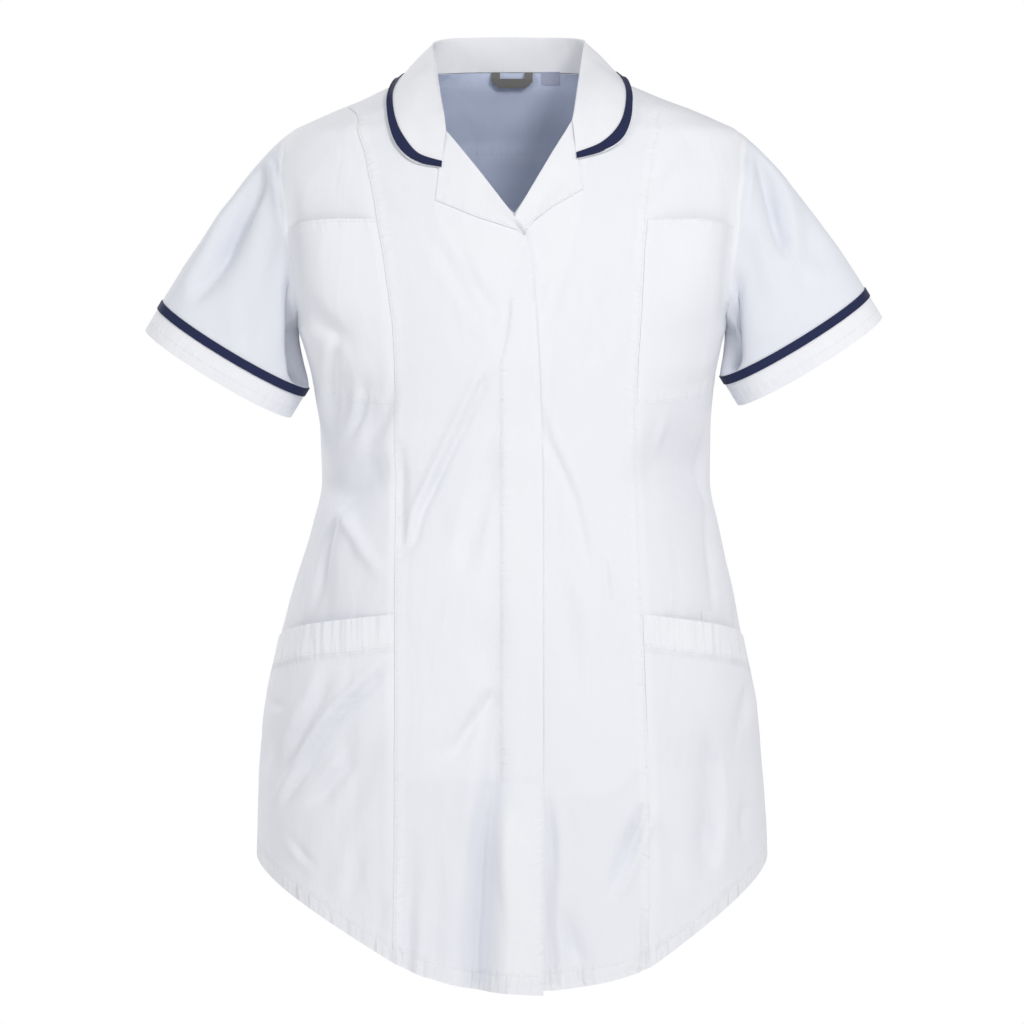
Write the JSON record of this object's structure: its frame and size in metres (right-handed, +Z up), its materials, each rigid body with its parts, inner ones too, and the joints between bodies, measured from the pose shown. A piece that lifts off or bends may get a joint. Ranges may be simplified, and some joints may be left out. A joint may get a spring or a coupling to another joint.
{
  "type": "maternity tunic",
  "caption": "Short-sleeved care-work maternity tunic with a revere collar, hidden placket, patch pockets, curved hem and contrasting trim, filled out and hollow",
  "frame": {"origin": "in the neck, midway between the two shoulder seams, where the wearer's shoulders hold the tunic", "axes": "+Z up, -Y out of the front, +X to the wearer's left"},
  "size_m": [0.6481, 0.2626, 0.8395],
  "materials": {
    "white_cloth": "fine plain-woven white cloth, matt, very slightly cool",
    "navy_trim": "narrow navy tape, matt",
    "loop_tape": "grey woven tape, matt",
    "label_tape": "pale satin tape, bare"
  },
  "bodies": {
    "root": {"front_right": "white_cloth", "front_left": "white_cloth", "side_front_right": "white_cloth", "side_front_left": "white_cloth", "back_centre": "white_cloth", "side_back_right": "white_cloth", "side_back_left": "white_cloth", "yoke": "white_cloth", "sleeve_right": "white_cloth", "sleeve_left": "white_cloth", "collar": "white_cloth", "lapel_right": "white_cloth", "lapel_left": "white_cloth", "placket": "white_cloth", "chest_pocket_right": "white_cloth", "chest_pocket_left": "white_cloth", "hip_pocket_right": "white_cloth", "hip_pocket_left": "white_cloth", "pen_strip": "white_cloth", "collar_trim": "navy_trim", "sleeve_trim_right": "navy_trim", "sleeve_trim_left": "navy_trim", "hanging_loop": "loop_tape", "size_label": "label_tape"}
  },
  "joints": []
}
